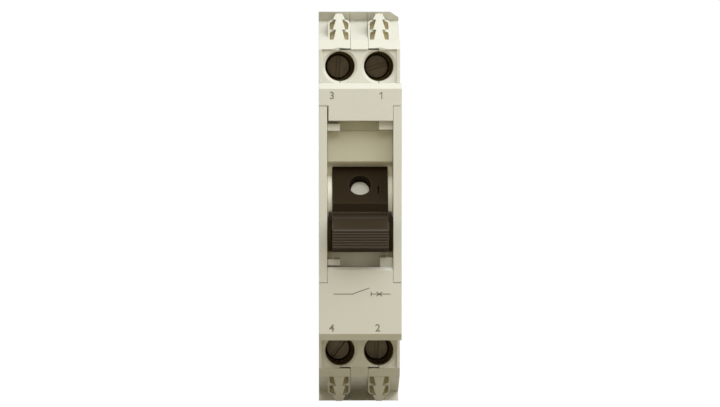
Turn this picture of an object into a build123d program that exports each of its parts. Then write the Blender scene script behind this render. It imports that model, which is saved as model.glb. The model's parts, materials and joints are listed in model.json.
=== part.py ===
from build123d import *
import os
from math import cos, sin, radians, degrees, atan2

os.makedirs("parts", exist_ok=True)

# A one-module circuit breaker for a 35 mm rail, in millimetres. +Z is up and the front faces -Y.
# The origin is the centre of the face that rests on the rail. A reach is a distance in front of
# that face, so it runs along -Y, and side outlines are drawn as (reach, height).

# --- casing ---
case_width = 17.2
floor_reach = 44.0
floor_recess = 0.4
floor_rim = 0.68
nose_rise = 14.7
nose_length = 50.9
block_length = 16.55
nose_slope = 1.2
low_slope = 1.45
nose_slope_depth = 1.1
side_wall = 1.3
rim_wall = 1.5
partition = 1.86
lip_setback = 8.19
block_setback = 6.26
block_slope_depth = 1.5
fold_setback = 1.9
fold_drop = 13.9
lip_drop = 12.0
end_slant = 6.0
foot_depth = 5.5
foot_length = 12.3
seam = 0.05
slot_seam = 0.25
end_cut = 1.8
step_x = 1.85

# --- rail ---
rail_width = 35.0
rail_plate = 1.0
rail_play = 0.2
hook_reach = 1.4
groove_play = 0.35
seat_relief = 0.2
relief_margin = 0.3

# --- terminals ---
terminal_setback = 11.8
access_radius = 3.1
access_sink = 0.6
block_depth = 11.4
head_radius = 2.37
head_height = 2.2
head_play = 0.1
pocket_margin = 0.31
shank_radius = 1.75
thread_play = 0.04
shoulder = 1.4
screw_shift = 0.35
driver_slot = 0.9
driver_slot_depth = 1.1
wire_radius = 2.0
clamp_opening = 3.2
bar_thickness = 1.2
bar_side_play = 0.2
cage_side_play = 0.61
cage_wall = 0.7
cage_plate = 1.4
cage_length = 5.0
cage_play = 0.35

# --- end guides ---
guide_inset = 1.95
guide_wall = 0.4
guide_wide = 2.7
guide_narrow = 1.35
guide_pitch = 2.2
scoop_depth = 2.4
scoop_sill = 0.1
guide_round = 1.0
post_gap = 0.55

# --- toggle ---
toggle_rise = 4.55
toggle_height = 1.16
drum_radius = 9.17
drum_inset = 2.95
drum_wall = 1.6
lever_inset = 2.75
flange_inset = 2.05
facet_tilt = 32.0
facet_reach = 8.0
lamp_hole_radius = 2.33
lamp_hole_depth = 2.3
lamp_radius = 1.9
grip_ribs = 7
grip_rib_height = 0.22
toggle_travel = 60.0
axle_radius = 1.0
axle_play = 0.05
crank_radius = 4.2
wire_link_radius = 0.6

# --- window and well ---
well_top = 18.8
well_bottom = 11.55
well_bevel = 0.6
well_depth = 3.2
well_floor = 1.6
window_edge = 10.3
window_play = 0.3
window_gap = 0.44
ear_top = 21.8
ear_bottom = 14.76
ear_width = 1.75

# --- contact carrier ---
carrier_sink = 12.3
carrier_height = -9.1
carrier_radius = 9.5
carrier_travel = 25.5
carrier_hub = 2.6
carrier_axle_radius = 0.8
arm_length = 12.0
arm_half = 0.9
eye_radius = 3.4
tip_radius = 0.9
tip_height = 0.6

# --- trip parts ---
coil_offset = 16.7
coil_base = 5.5
core_height = 5.5
spool_height = 14.5
spool_play = 0.16
coil_step = 0.15
core_radius = 1.2
core_play = 0.08
pin_radius = 0.6
yoke_plate = 1.0
bimetal_thickness = 0.8
bimetal_length = 9.1

half_width = case_width / 2
end = nose_length / 2 + block_length
inner_x = half_width - side_wall
wall_x = partition / 2
room = inner_x - wall_x
pole_x = wall_x + room / 2
nose_reach = floor_reach + nose_rise
rim_reach = floor_reach + floor_recess
nose_half = nose_length / 2
nose_foot = nose_half + nose_slope
low_foot = nose_half + low_slope
terminal_z = end - terminal_setback
seat_edge = rail_width / 2 + rail_play
block_end = end - lip_setback
block_corner = end - block_setback
fold_z = end - fold_setback
fold_reach = rim_reach - fold_drop
lip_reach = rim_reach - lip_drop
slope_reach = rim_reach - block_slope_depth
chamber_reach = rim_reach - block_depth
chamber_edge = nose_foot - rim_wall
groove = rail_plate + groove_play
relief_z = seat_edge - hook_reach - relief_margin
drum_half = half_width - drum_inset
lever_width = case_width - 2 * lever_inset
flange_width = case_width - 2 * flange_inset
toggle_reach = floor_reach + toggle_rise
carrier_reach = floor_reach - carrier_sink
coil_reach = carrier_reach - coil_offset
spool_radius = room / 2 - spool_play
coil_radius = spool_radius - coil_step
guide_width = half_width - guide_inset - step_x - seam
guide_x = step_x + seam + guide_width / 2
guide_lean = (slope_reach - 1.2 - fold_reach - 6) / (end - block_corner)
cage_width = room - 2 * cage_side_play
bar_width = cage_width - 2 * (cage_wall + bar_side_play)
rest_angle = carrier_travel / 2
boss_radius = axle_radius + 1.0
window_low = drum_radius - toggle_height + window_gap


def side_plane(x):
    return Plane(origin=(x, 0, 0), x_dir=(0, -1, 0), z_dir=(-1, 0, 0))


def plane_at(x, reach, height, angle):
    turn = radians(angle)
    return Plane(origin=(x, -reach, height), x_dir=(0, -cos(turn), sin(turn)), z_dir=(-1, 0, 0))


def plate(points, x_from, x_to, mode=Mode.ADD, plane=side_plane):
    with BuildSketch(plane(x_to)) as side:
        with BuildLine():
            Polyline(*points, close=True)
        make_face()
    extrude(side.sketch, amount=x_to - x_from, mode=mode)


def disc(reach, height, radius, x_from, x_to, mode=Mode.ADD, plane=side_plane):
    with BuildSketch(plane(x_to)) as side:
        with Locations((reach, height)):
            Circle(radius)
    extrude(side.sketch, amount=x_to - x_from, mode=mode)


def bore(x, height, radius, reach_from, reach_to, mode=Mode.SUBTRACT, wide=None):
    with BuildSketch(Plane.XZ.offset(reach_from)) as front:
        with Locations((x, height)):
            Circle(radius)
    if wide is None:
        extrude(front.sketch, amount=reach_to - reach_from, mode=mode)
    else:
        slant = degrees(atan2(wide - radius, reach_to - reach_from))
        extrude(front.sketch, amount=reach_to - reach_from, taper=-slant, mode=mode)


def mirrored(points):
    return [(reach, -height) for reach, height in reversed(points)]


def at_angle(radius, angle):
    turn = radians(angle)
    return (toggle_reach + radius * cos(turn), toggle_height + radius * sin(turn))


def sector(inner, outer, start, stop):
    steps = [start + (stop - start) * n / 12 for n in range(13)]
    return [at_angle(outer, a) for a in steps] + [at_angle(inner, a) for a in reversed(steps)]


def save(builder, name):
    builder.part.label = name
    export_step(builder.part, f"parts/{name}.step")


# --- side outlines of the casing ---
foot_end = seat_edge + foot_length
upper_outline = [
    (0, 0),
    (0, relief_z),
    (seat_relief, relief_z),
    (seat_relief, seat_edge),
    (-groove, seat_edge),
    (-groove, seat_edge - hook_reach),
    (-groove - hook_reach, seat_edge - hook_reach),
    (-foot_depth, seat_edge + hook_reach),
    (-foot_depth, foot_end),
    (end_slant, end),
    (lip_reach, end),
    (fold_reach, fold_z),
    (slope_reach, block_corner),
    (rim_reach, block_end),
    (rim_reach, nose_foot),
    (floor_reach, nose_foot),
    (floor_reach, 0),
]
lower_outline = [
    (floor_reach, 0),
    (floor_reach, -low_foot),
    (rim_reach, -low_foot),
    (rim_reach, -block_end),
    (slope_reach, -block_corner),
    (fold_reach, -fold_z),
    (lip_reach, -end),
    (end_slant, -end),
    (-foot_depth, -foot_end),
    (-foot_depth, -seat_edge),
    (seat_relief, -seat_edge),
    (seat_relief, -relief_z),
    (0, -relief_z),
    (0, 0),
]
upper_chamber = [
    (rim_wall, 0),
    (rim_wall, foot_end + end_slant - rim_wall),
    (end_slant + rim_wall, end - rim_wall),
    (fold_reach - rim_wall, end - rim_wall),
    (fold_reach - rim_wall, fold_z - rim_wall),
    (chamber_reach, fold_z - rim_wall * 1.9),
    (chamber_reach, chamber_edge),
    (floor_reach + 1, chamber_edge),
    (floor_reach + 1, 0),
]
end_slab = [(-20, block_end + slot_seam / 2), (60, block_end + slot_seam / 2), (60, 60), (-20, 60)]
end_gap = [(-20, block_end - slot_seam / 2), (60, block_end - slot_seam / 2), (60, 60), (-20, 60)]


def add_guides(x, side):
    # a notched post with two tiers of arched scoops, on the slope behind each terminal block
    foot = fold_reach - 2
    length = slope_reach - foot
    with BuildSketch(Plane.XZ.offset(foot)) as tiers:
        for step in (1, 2):
            with Locations((x, block_corner + guide_pitch * (step - 1))):
                RectangleRounded(guide_width, guide_pitch * 2, guide_round)
        with Locations((x, block_corner - guide_pitch)):
            Rectangle(guide_width + 1, guide_pitch * 2, mode=Mode.SUBTRACT)
    with BuildSketch(Plane.XZ.offset(foot)) as posts:
        for step in (0, 1, 2):
            low = block_corner - 0.5 if step == 0 else block_corner + guide_pitch * step
            high = min(block_corner + guide_pitch * (step + 1), end - post_gap)
            with BuildLine():
                Polyline(
                    (x - guide_wide / 2, low),
                    (x + guide_wide / 2, low),
                    (x + guide_narrow / 2, high),
                    (x - guide_narrow / 2, high),
                    close=True,
                )
            make_face()
    scoops = []
    with BuildPart() as guide:
        extrude(tiers.sketch, amount=length)
        plate(
            [(slope_reach - 1.2, block_corner), (60, block_corner), (60, end), (fold_reach + 6, end)],
            x - 5,
            x + 5,
            mode=Mode.SUBTRACT,
        )
        for step in (1, 2):
            low = block_corner + guide_pitch * (step - 1)
            rim = slope_reach - 1.2 - guide_lean * (low - block_corner)
            with BuildPart(mode=Mode.PRIVATE) as scoop:
                with BuildSketch(Plane.XZ.offset(foot)) as hollow:
                    with Locations((x, low)):
                        RectangleRounded(guide_width - 2 * guide_wall, 2 * (guide_pitch - guide_wall),
                                         guide_round - guide_wall)
                        Rectangle(guide_width, guide_pitch * 2, align=(Align.CENTER, Align.MAX),
                                  mode=Mode.SUBTRACT)
                extrude(hollow.sketch, amount=length + 5)
                plate(
                    [(rim - scoop_depth, low + scoop_sill), (60, low + scoop_sill), (60, low + guide_pitch),
                     (rim - guide_lean * guide_pitch - 0.2, low + guide_pitch)],
                    x - 5, x + 5, mode=Mode.INTERSECT,
                )
            add(scoop.part, mode=Mode.SUBTRACT)
            scoops.append(scoop.part)
    with BuildPart() as post:
        extrude(posts.sketch, amount=length)
        plate(
            [(slope_reach - 0.3, block_corner), (60, block_corner), (60, end + 1), (fold_reach + 7, end + 1)],
            x - 5,
            x + 5,
            mode=Mode.SUBTRACT,
        )
    for piece in scoops:
        add(piece if side > 0 else piece.mirror(Plane.XY), mode=Mode.SUBTRACT)
    for piece in (guide.part, post.part):
        add(piece if side > 0 else piece.mirror(Plane.XY))


def cut_terminals(signs):
    # screwdriver bores with a shoulder under each screw head, and the recess round their mouths
    for pole in signs:
        for way in (1, -1):
            x = pole * pole_x
            z = way * terminal_z
            seat = chamber_reach + shoulder
            pocket_top = seat + head_height + pocket_margin
            bore(x - screw_shift, z, head_radius + pocket_margin, seat, pocket_top)
            bore(x, z, access_radius, pocket_top, rim_reach + 1)
            bore(x, z, access_radius, floor_reach - access_sink, floor_reach + 0.3,
                 wide=access_radius + access_sink + 0.3)
            bore(x - screw_shift, z, shank_radius + head_play * 2, chamber_reach - 1, seat + 1)


def cut_recess(x_from, x_to):
    for way in (1, -1):
        foot = nose_foot if way > 0 else low_foot
        low, high = sorted((way * (foot - 1), way * (block_end - 0.1)))
        plate([(floor_reach, low), (60, low), (60, high), (floor_reach, high)],
              x_from, x_to, mode=Mode.SUBTRACT)


ear = [
    (floor_reach - 8, -ear_bottom),
    (nose_reach, -ear_bottom),
    (nose_reach, ear_top),
    (floor_reach - 8, ear_top),
]
rivet_radius = 1.2
rivet_places = [(end_slant + 3, end - 6), (floor_reach - 4.5, chamber_edge - 4.6)]
rivets = rivet_places + mirrored(rivet_places)
rivet_boss = rivet_radius + 1.2
rivet_fit = 0.02


# --- the sliding rail clip and its channel ---
clip_half = 3.6
clip_neck = 2.4
clip_play = 0.15
clip_flange_front = 1.6
clip_flange_back = 3.4
clip_post_z = seat_edge + 11.9
clip_post_half = 0.6
channel_top = seat_edge - rail_play - 3.4


def cut_clip_channel():
    flange_from = -clip_flange_back - clip_play
    flange_to = -clip_flange_front + clip_play
    half = clip_half + clip_play
    neck = clip_neck + clip_play
    plate([(flange_from, -end - 1), (flange_to, -end - 1), (flange_to, -channel_top),
           (flange_from, -channel_top)], -half, half, mode=Mode.SUBTRACT)
    plate([(-20, -end - 1), (-clip_flange_back, -end - 1), (-clip_flange_back, -channel_top),
           (-20, -channel_top)], -neck, neck, mode=Mode.SUBTRACT)


def shell():
    # the right shell is drawn, and the left one is its mirror image but for the cut corner
    with BuildPart() as body:
        plate(upper_outline + lower_outline[1:-1], pole_x + seam, half_width)
        for outline in (end_slab, mirrored(end_slab)):
            with BuildPart(mode=Mode.PRIVATE) as cap:
                plate(upper_outline + lower_outline[1:-1], step_x + seam, pole_x + seam)
                plate(outline, step_x, pole_x + 1, mode=Mode.INTERSECT)
            add(cap.part)
        plate(ear, inner_x, half_width)
        for way in (1, -1):
            add_guides(guide_x, way)
        plate(upper_chamber + mirrored(upper_chamber)[1:-1], -1, inner_x, mode=Mode.SUBTRACT)
        for reach, height in rivets:
            disc(reach, height, rivet_boss, pole_x + seam, inner_x)
        plate(
            [(nose_reach - nose_rise + 1, -ear_bottom), (nose_reach, -ear_bottom), (nose_reach, ear_top),
             (nose_reach - nose_rise + 1, ear_top)],
            half_width - ear_width,
            inner_x,
        )
        for reach, height in rivets:
            disc(reach, height, rivet_radius + rivet_fit, 0, half_width + 1, mode=Mode.SUBTRACT)
            disc(reach, height, rivet_radius + 0.7, half_width - 0.5, half_width + 1, mode=Mode.SUBTRACT)
        disc(toggle_reach, toggle_height, axle_radius + rivet_fit, 0, half_width - side_wall / 2,
             mode=Mode.SUBTRACT)
        disc(carrier_reach, carrier_height, carrier_axle_radius + rivet_fit, 0, half_width - side_wall / 2,
             mode=Mode.SUBTRACT)
        for way in (1, -1):
            with BuildSketch(Plane.XY.offset(way * (end - rim_wall - 1))) as entry:
                with Locations((pole_x, -(chamber_reach - 8.9))):
                    Circle(wire_radius)
            extrude(entry.sketch, amount=way * (rim_wall + 2), mode=Mode.SUBTRACT)
        cut_clip_channel()
    return body


plain_shell = shell().part
with BuildPart() as right_shell:
    add(plain_shell)
    cut_terminals([1])
    cut_recess(0, half_width - floor_rim)
    with BuildSketch(Plane.XZ.offset(-20)) as corner:
        with BuildLine():
            Polyline(
                (half_width - end_cut, end),
                (half_width, end - end_cut * 0.66),
                (half_width + 1, end + 1),
                (half_width - end_cut, end + 1),
                close=True,
            )
        make_face()
    extrude(corner.sketch, amount=80, mode=Mode.SUBTRACT)
save(right_shell, "right_shell")

with BuildPart() as left_shell:
    add(plain_shell.mirror(Plane.YZ))
    cut_terminals([-1])
    cut_recess(-half_width + floor_rim, 0)
save(left_shell, "left_shell")
print("shells")

# --- middle frame: the partition between the poles, half of each screw bore and the rail hook ---
carrier_hole = eye_radius + 0.4
with BuildPart() as middle_frame:
    whole = upper_outline + lower_outline[1:-1]
    plate(whole, -pole_x + seam, pole_x - seam)
    for outline in (end_gap, mirrored(end_gap)):
        plate(outline, step_x, 20, mode=Mode.SUBTRACT)
        plate(outline, -20, -step_x, mode=Mode.SUBTRACT)
    chamber = upper_chamber + mirrored(upper_chamber)[1:-1]
    for low, high in ((wall_x, pole_x), (-pole_x, -wall_x)):
        plate(chamber, low, high, mode=Mode.SUBTRACT)
        for reach, height in rivets:
            if abs(height) < block_end - rivet_boss:
                inset = seam if low > 0 else 0
                disc(reach, height, rivet_boss, low + seam - inset, high - inset)
    for reach, height in rivets:
        disc(reach, height, rivet_radius + rivet_fit, -20, 20, mode=Mode.SUBTRACT)
    plate(
        [(floor_reach - 3, -chamber_edge + 0.1), (60, -chamber_edge + 0.1), (60, chamber_edge - 0.1),
         (floor_reach - 3, chamber_edge - 0.1)],
        -20, 20, mode=Mode.SUBTRACT,
    )
    disc(toggle_reach, toggle_height, drum_radius + 1.2, -20, 20, mode=Mode.SUBTRACT)
    disc(carrier_reach, carrier_height, carrier_hole, -20, 20, mode=Mode.SUBTRACT)
    for way in (1, -1):
        for side in (1, -1):
            x_rest = sorted((side * wall_x, side * (pole_x - 0.6)))
            low, high = sorted((way * (chamber_edge - 1.8), way * (chamber_edge + 0.4)))
            under = chamber_reach - 7.2 - 0.1
            plate([(under - 1.5, low), (under, low), (under, high), (under - 1.5, high)], *x_rest)
    # the post that the clip's spring stands on
    cut_clip_channel()
    plate([(-clip_flange_front + clip_play + 0.2, -clip_post_z - clip_post_half),
           (-clip_flange_front + clip_play + 0.2, -clip_post_z + clip_post_half),
           (-foot_depth + 0.6, -clip_post_z + clip_post_half),
           (-foot_depth + 0.6, -clip_post_z - clip_post_half)], -1.2, 1.2)
with BuildPart() as frame_done:
    add(middle_frame.part)
    cut_terminals([1, -1])
    cut_recess(-half_width + floor_rim, half_width - floor_rim)
save(frame_done, "middle_frame")
print("middle frame")

# --- front cover: the nose, with the well and the window that the toggle swings in ---
corner_blocks = [(-1, 17.45, 2.6, 1.5), (1, 17.9, 2.9, 1.9), (-1, -10.6, 2.6, 1.3), (1, -10.6, 2.7, 2.0)]
cover_foot = floor_reach + seam
cover_wall = 1.4
ear_play = 0.25
drum_play = 0.15
lever_play = 0.12
strip_depth = 0.25
mid_half = half_width - ear_width
cover_half = mid_half - seam
cover_outline = [
    (cover_foot, -low_foot + seam),
    (nose_reach - nose_slope_depth, -low_foot + seam),
    (nose_reach, -nose_half),
    (nose_reach, nose_half),
    (nose_reach - nose_slope_depth, nose_foot - seam),
    (cover_foot, nose_foot - seam),
]
inner_reach = nose_reach - cover_wall - 0.2
well_reach = nose_reach - well_depth
floor_back = well_reach - well_floor
with BuildPart() as front_cover:
    plate(cover_outline, -half_width, half_width)
    for side in (1, -1):
        x_pair = sorted((side * 20, side * cover_half))
        plate([(0, -ear_bottom - seam * 2), (60, -ear_bottom - seam * 2), (60, ear_top + seam * 2),
               (0, ear_top + seam * 2)], *x_pair, mode=Mode.SUBTRACT)
    plate([(0, well_top), (60, well_top), (60, ear_top + seam * 2), (0, ear_top + seam * 2)],
          -20, -mid_half + ear_play, mode=Mode.SUBTRACT)
    hollow_half = inner_x - 0.25
    plate([(0, well_top + cover_wall), (inner_reach, well_top + cover_wall),
           (inner_reach, nose_foot - cover_wall - 0.6), (0, nose_foot - cover_wall - 0.1)],
          -hollow_half + 0.6, hollow_half - 0.6, mode=Mode.SUBTRACT)
    plate([(0, -nose_foot + cover_wall + 0.1), (inner_reach, -nose_foot + cover_wall + 0.6),
           (inner_reach, -well_bottom - cover_wall), (0, -well_bottom - cover_wall)],
          -hollow_half + 0.6, hollow_half - 0.6, mode=Mode.SUBTRACT)
    plate([(0, -well_bottom - cover_wall - 1), (floor_back - 0.01, -well_bottom - cover_wall - 1),
           (floor_back - 0.01, well_top + cover_wall + 1), (0, well_top + cover_wall + 1)],
          -20, 20, mode=Mode.SUBTRACT)
    plate([(well_reach, -well_bottom), (nose_reach - well_bevel, -well_bottom),
           (nose_reach + 1, -well_bottom - well_bevel - 1), (nose_reach + 1, well_top), (well_reach, well_top)],
          -20, 20, mode=Mode.SUBTRACT)
    # the window
    plate([(0, -window_low), (60, -window_low), (60, window_edge), (0, window_edge)],
          -20, 20, mode=Mode.SUBTRACT)
    # the lip that curves down to the drum, and the wall below the lever
    lip_inner = drum_radius + window_play
    lip_corner = at_angle(lip_inner, 58)
    lip_back = lip_corner[0] - 0.9
    plate([(well_reach, window_edge), (well_reach - 0.5, window_edge - 0.5), lip_corner,
           (lip_back, lip_corner[1] + 0.8), (lip_back, window_edge + 1.5),
           (floor_back + 0.2, window_edge + 1.5), (well_reach - 0.2, window_edge + 1.5)],
          -cover_half, cover_half)
    plate([(floor_back - 5, -window_low - 1.3), (floor_back, -window_low - 1.3), (floor_back, -window_low),
           (floor_back - 5, -window_low)], -cover_half, cover_half)
    # rails beside the drum join the two ends of the window
    rail_in = drum_half + drum_play
    rail_outer = drum_radius - 1.6
    rail_inner = rail_outer - 1.5
    rail_end = at_angle(rail_outer, -24)
    foot_in = lever_width / 2 + lever_play
    for side in (1, -1):
        x_pair = sorted((side * rail_in, side * cover_half))
        foot_pair = sorted((side * foot_in, side * cover_half))
        plate(sector(rail_inner, rail_outer, -24, 62), *x_pair)
        top_in = at_angle(rail_inner, 62)
        plate([top_in, at_angle(rail_outer, 56), (lip_corner[0], window_edge + 0.2),
               (lip_back, window_edge + 1.4)], *x_pair)
        plate([at_angle(rail_inner, -24), rail_end, (floor_back - 2.4, -window_low - 0.6),
               (floor_back - 5, -window_low - 0.6)], *foot_pair)
    # the corner blocks that hold a window label, and the sunk strip between the upper pair
    for x, z, wide, tall in corner_blocks:
        block_x = x * (cover_half - wide / 2)
        with BuildSketch(Plane.XZ.offset(well_reach)) as block:
            with Locations((block_x, z)):
                Rectangle(wide, tall)
        extrude(block.sketch, amount=well_depth - 1.2)
    with BuildSketch(Plane.XZ.offset(well_reach - strip_depth)) as strip:
        with Locations((0, (well_top + 16.64) / 2)):
            Rectangle(8.2, well_top - 16.64)
    extrude(strip.sketch, amount=2, mode=Mode.SUBTRACT)
    # snap legs
    for way in (1, -1):
        for side in (1, -1):
            x_pair = sorted((side * (wall_x + 0.4), side * (wall_x + 2.4)))
            low, high = sorted((way * (chamber_edge - 1.3), way * (chamber_edge - 0.1)))
            plate([(floor_reach - 5, low), (floor_reach + 4, low), (floor_reach + 4, high),
                   (floor_reach - 5, high)], *x_pair)
save(front_cover, "front_cover")
print("cover")

# --- toggle ---
lever_top_root = (toggle_reach + 9.4, toggle_height - 2.55)
lever_top_tip = (toggle_reach + 15.95, toggle_height - 4.6)
lever_low_tip = (toggle_reach + 14.45, toggle_height - 8.55)
lever_low_root = (toggle_reach + 10.45, toggle_height - 9.55)
with BuildPart() as toggle:
    disc(toggle_reach, toggle_height, drum_radius, -drum_half, drum_half)
    # the flat face that carries the lamp hole, and the dark face under its lower edge
    tilt = radians(facet_tilt)
    for angle, reach in ((facet_tilt, facet_reach), (-12.0, drum_radius * cos(radians(17)))):
        face_plane = plane_at(20, toggle_reach, toggle_height, angle)
        with BuildSketch(face_plane) as beyond:
            with Locations((reach + 10, 0)):
                Rectangle(20, 9.0 if angle > 0 else 5.2)
        extrude(beyond.sketch, amount=40, mode=Mode.SUBTRACT)
    # the hollow back, open to the rear for the wire link
    cheek = drum_half - drum_wall
    plate(sector(0.01, drum_radius + 2, 100, 235), -cheek, cheek, mode=Mode.SUBTRACT)
    plate(sector(0.01, drum_radius - drum_wall - 1.2, -125, 60), -cheek, cheek, mode=Mode.SUBTRACT)
    disc(toggle_reach, toggle_height, boss_radius, -drum_half, drum_half)
    # lever
    plate([at_angle(drum_radius - 0.1, -9), lever_top_root, lever_top_tip, lever_low_tip, lever_low_root,
           at_angle(drum_radius - 0.1, -75), at_angle(drum_radius - 1.4, -70),
           at_angle(drum_radius - 1.4, -40)], -lever_width / 2, lever_width / 2)
    plate(sector(drum_radius - 1.4, drum_radius - 0.1, -21.5, -9), -flange_width / 2, flange_width / 2)
    for rib in range(grip_ribs):
        share = (rib + 0.5) / grip_ribs
        reach = lever_top_tip[0] + (lever_low_tip[0] - lever_top_tip[0]) * share
        height = lever_top_tip[1] + (lever_low_tip[1] - lever_top_tip[1]) * share
        with BuildSketch(side_plane(lever_width / 2 - 0.15)) as ridge:
            with Locations((reach, height)):
                Circle(grip_rib_height)
        extrude(ridge.sketch, amount=lever_width - 0.3)
    # the hole for the state disc
    lamp_plane = Plane(
        origin=(0, -(toggle_reach + facet_reach * cos(tilt)), toggle_height + facet_reach * sin(tilt)),
        x_dir=(1, 0, 0),
        z_dir=(0, -cos(tilt), sin(tilt)),
    )
    with BuildSketch(lamp_plane.offset(-lamp_hole_depth - 1.2)) as seat:
        Circle(lamp_hole_radius + 0.8)
    extrude(seat.sketch, amount=lamp_hole_depth)
    with BuildSketch(lamp_plane.offset(0.5)) as hole:
        Circle(lamp_hole_radius)
    extrude(hole.sketch, amount=-lamp_hole_depth - 0.5, mode=Mode.SUBTRACT)
    with BuildSketch(lamp_plane.offset(0.5)) as mark:
        with Locations((3.8, -1.1)):
            Rectangle(0.35, 1.45)
    extrude(mark.sketch, amount=-1.0, mode=Mode.SUBTRACT)
    disc(toggle_reach, toggle_height, axle_radius + axle_play, -20, 20, mode=Mode.SUBTRACT)
    crank = at_angle(crank_radius, 180 - toggle_travel / 2)
    disc(*crank, wire_link_radius + 0.05, cheek - 0.1, 20, mode=Mode.SUBTRACT)
save(toggle, "toggle")

with BuildPart() as state_disc:
    with BuildSketch(lamp_plane.offset(-lamp_hole_depth)):
        Circle(lamp_radius)
    extrude(amount=0.3)
save(state_disc, "state_disc")

with BuildPart() as toggle_axle:
    disc(toggle_reach, toggle_height, axle_radius, -half_width + side_wall / 2 + 0.05,
         half_width - side_wall / 2 - 0.05)
save(toggle_axle, "toggle_axle")
print("toggle")

# --- rivets ---
with BuildPart() as case_rivets:
    for reach, height in rivets:
        disc(reach, height, rivet_radius, -half_width + 0.05, half_width - 0.05)
        for side in (1, -1):
            x_pair = sorted((side * (half_width - 0.45), side * (half_width - 0.05)))
            disc(reach, height, rivet_radius + 0.6, *x_pair)
save(case_rivets, "case_rivets")

# --- terminals, numbered as on the front: 1 and 2 on the right pole, 3 and 4 on the left ---
bar_front = chamber_reach - 6.0
bar_back = bar_front - bar_thickness
head_seat = chamber_reach + shoulder + head_play
plate_low = bar_front + cage_play
cage_back = bar_back - clamp_opening
cage_inner = cage_width - 2 * cage_wall
slot_turns = {1: 74.0, 2: 3.0, 3: 5.0, 4: 38.0}
places = {1: (1, 1), 2: (1, -1), 3: (-1, 1), 4: (-1, -1)}

for number, (pole, way) in places.items():
    screw_x = pole * pole_x - screw_shift
    screw_z = way * terminal_z
    with BuildPart() as screw:
        bore(screw_x, screw_z, shank_radius, bar_front + 0.05, head_seat, mode=Mode.ADD)
        bore(screw_x, screw_z, head_radius, head_seat, head_seat + head_height, mode=Mode.ADD)
        with BuildSketch(Plane.XZ.offset(head_seat + head_height - driver_slot_depth)) as slot:
            with Locations((screw_x, screw_z)):
                Rectangle(driver_slot, head_radius * 2 + 1, rotation=-slot_turns[number])
        extrude(slot.sketch, amount=driver_slot_depth + 1, mode=Mode.SUBTRACT)
        chamfer(screw.faces().sort_by(Axis.Y)[-1].edges(), 0.3)
    save(screw, f"terminal_screw_{number}")

    with BuildPart() as cage:
        with BuildSketch(Plane.XZ.offset(cage_back - cage_wall - 0.1)) as block:
            with Locations((screw_x, screw_z)):
                RectangleRounded(cage_width, cage_length, 0.3)
        extrude(block.sketch, amount=plate_low + cage_plate - cage_back + cage_wall + 0.1)
        with BuildSketch(Plane.XZ.offset(cage_back)) as inside:
            with Locations((screw_x, screw_z)):
                Rectangle(cage_inner, cage_length + 1)
        extrude(inside.sketch, amount=plate_low - cage_back, mode=Mode.SUBTRACT)
        bore(screw_x, screw_z, shank_radius + thread_play, plate_low - 1, plate_low + cage_plate + 1)
    save(cage, f"clamp_cage_{number}")

bar_end = terminal_z + 3.6
bar_foot = chamber_edge + 0.5


def bar_plate(points, pole):
    middle = pole * pole_x - screw_shift
    plate(points, middle - bar_width / 2, middle + bar_width / 2)


# pole supply: from clamp 1 round to the head of the coil
lug_height = coil_base + spool_height
with BuildPart() as terminal_bar_1:
    bar_plate([(bar_back, chamber_edge - 2.4), (bar_front, chamber_edge - 3.2), (bar_front, bar_end),
               (bar_back, bar_end)], 1)
    bar_plate([(coil_reach + spool_radius + 1.4, lug_height - 0.6), (bar_front, chamber_edge - 3.2),
               (bar_back, chamber_edge - 2.4), (coil_reach + spool_radius + 1.4, lug_height + 0.6)], 1)
save(terminal_bar_1, "terminal_bar_1")

# pole load: clamp 2 carries the foot of the bimetal strip and its setting screw
strip_foot = -(bar_foot - 1.5)
set_screw_z = strip_foot + 3.2
bar_top_2 = strip_foot + 4.6
set_radius = 0.75
with BuildPart() as terminal_bar_2:
    bar_plate([(bar_back, -bar_end), (bar_front, -bar_end), (bar_front, bar_top_2), (bar_back, bar_top_2)], 1)
    bore(pole_x, set_screw_z, set_radius + thread_play, bar_back - 1, bar_front + 1)
save(terminal_bar_2, "terminal_bar_2")

# neutral supply: clamp 3 runs on down the chamber as the fixed contact of the left pole
closed = radians(180 - rest_angle)
tip_reach = carrier_reach + (arm_length - tip_radius) * cos(closed)
tip_closed = carrier_height + (arm_length - tip_radius) * sin(closed)
tip_closed += (arm_half + tip_height) * cos(radians(rest_angle))
contact_gap = 0.12
contact_under = tip_closed + tip_height + contact_gap
strip = 1.2
fall = coil_reach + spool_radius + 0.6
with BuildPart() as terminal_bar_3:
    bar_plate([(bar_back, chamber_edge - 2.4), (bar_front, chamber_edge - 2.9), (bar_front, bar_end),
               (bar_back, bar_end)], -1)
    plate([(fall - strip, contact_under), (tip_reach + 2.0, contact_under),
           (tip_reach + 2.0, contact_under + strip), (fall, contact_under + strip), (fall, lug_height - 2),
           (bar_front, chamber_edge - 2.9), (bar_back, chamber_edge - 2.4),
           (fall - strip, lug_height - 1.5)], -wall_x - 2.7, -wall_x - 0.3)
save(terminal_bar_3, "terminal_bar_3")

with BuildPart() as terminal_bar_4:
    bar_plate([(bar_back, -bar_end), (bar_front, -bar_end), (bar_front, carrier_height - 9.5),
               (bar_back, carrier_height - 9.5)], -1)
save(terminal_bar_4, "terminal_bar_4")
print("terminals")

# --- contact carrier with its two contact arms ---
lane_arm = (wall_x + 0.37, wall_x + 1.77)
lane_lug = (inner_x - 3.85, inner_x - 3.1)
lane_latch = (inner_x - 2.95, inner_x - 2.15)
lane_trip = (inner_x - 1.85, inner_x - 0.65)


def carrier_plane(x):
    return plane_at(x, carrier_reach, carrier_height, rest_angle)


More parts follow.
